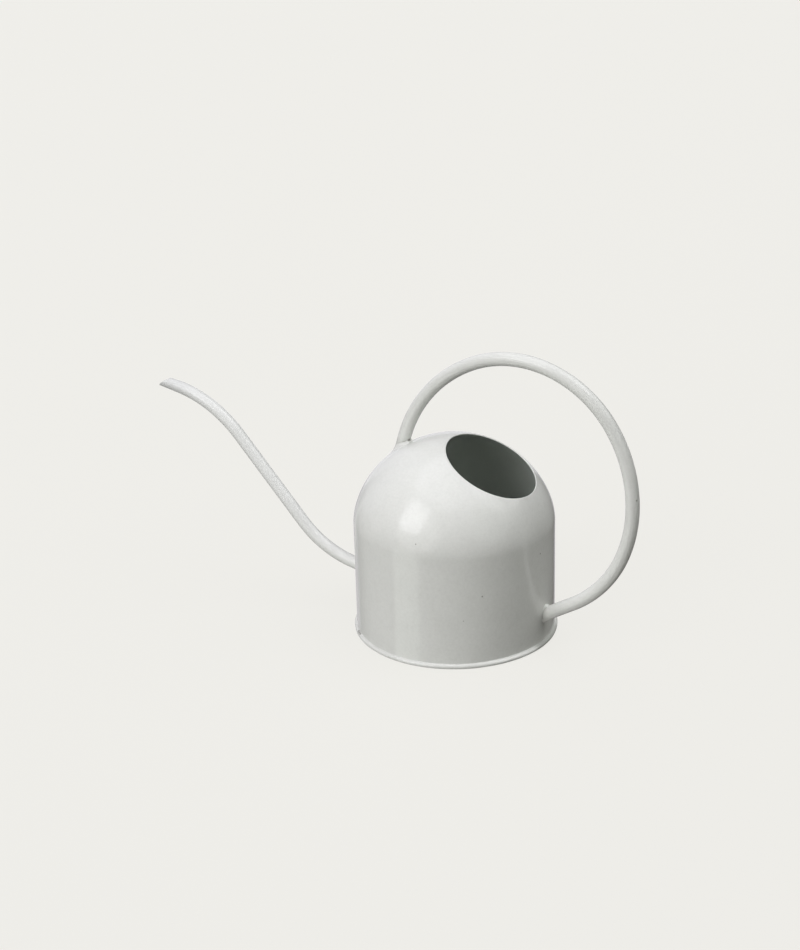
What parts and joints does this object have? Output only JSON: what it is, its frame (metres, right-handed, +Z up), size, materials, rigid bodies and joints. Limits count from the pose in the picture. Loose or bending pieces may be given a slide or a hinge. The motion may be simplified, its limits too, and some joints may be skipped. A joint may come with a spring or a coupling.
{
  "type": "watering can",
  "caption": "Domed sheet-metal watering can with a slanting filling mouth, a long slender S-curved pouring tube and a looped tube handle.",
  "frame": {"origin": "centre of the base's flat underside, on the body's axis", "axes": "+Z up along the body's axis; -X towards the spout, +X towards the low end of the handle; XZ is the mirror plane"},
  "size_m": [0.3858, 0.1434, 0.2076],
  "materials": {
    "enamel": "semi-gloss cool white stoved enamel over steel, with a few pinholes",
    "solder": "dull bare soft solder, inside the can only"
  },
  "bodies": {
    "root": {"body_shell": "enamel", "base_pan": "enamel", "base_seam_solder": "solder", "spout_tube": "enamel", "spout_weld": "enamel", "handle_tube": "enamel", "handle_upper_weld": "enamel", "handle_lower_weld": "enamel"}
  },
  "joints": []
}
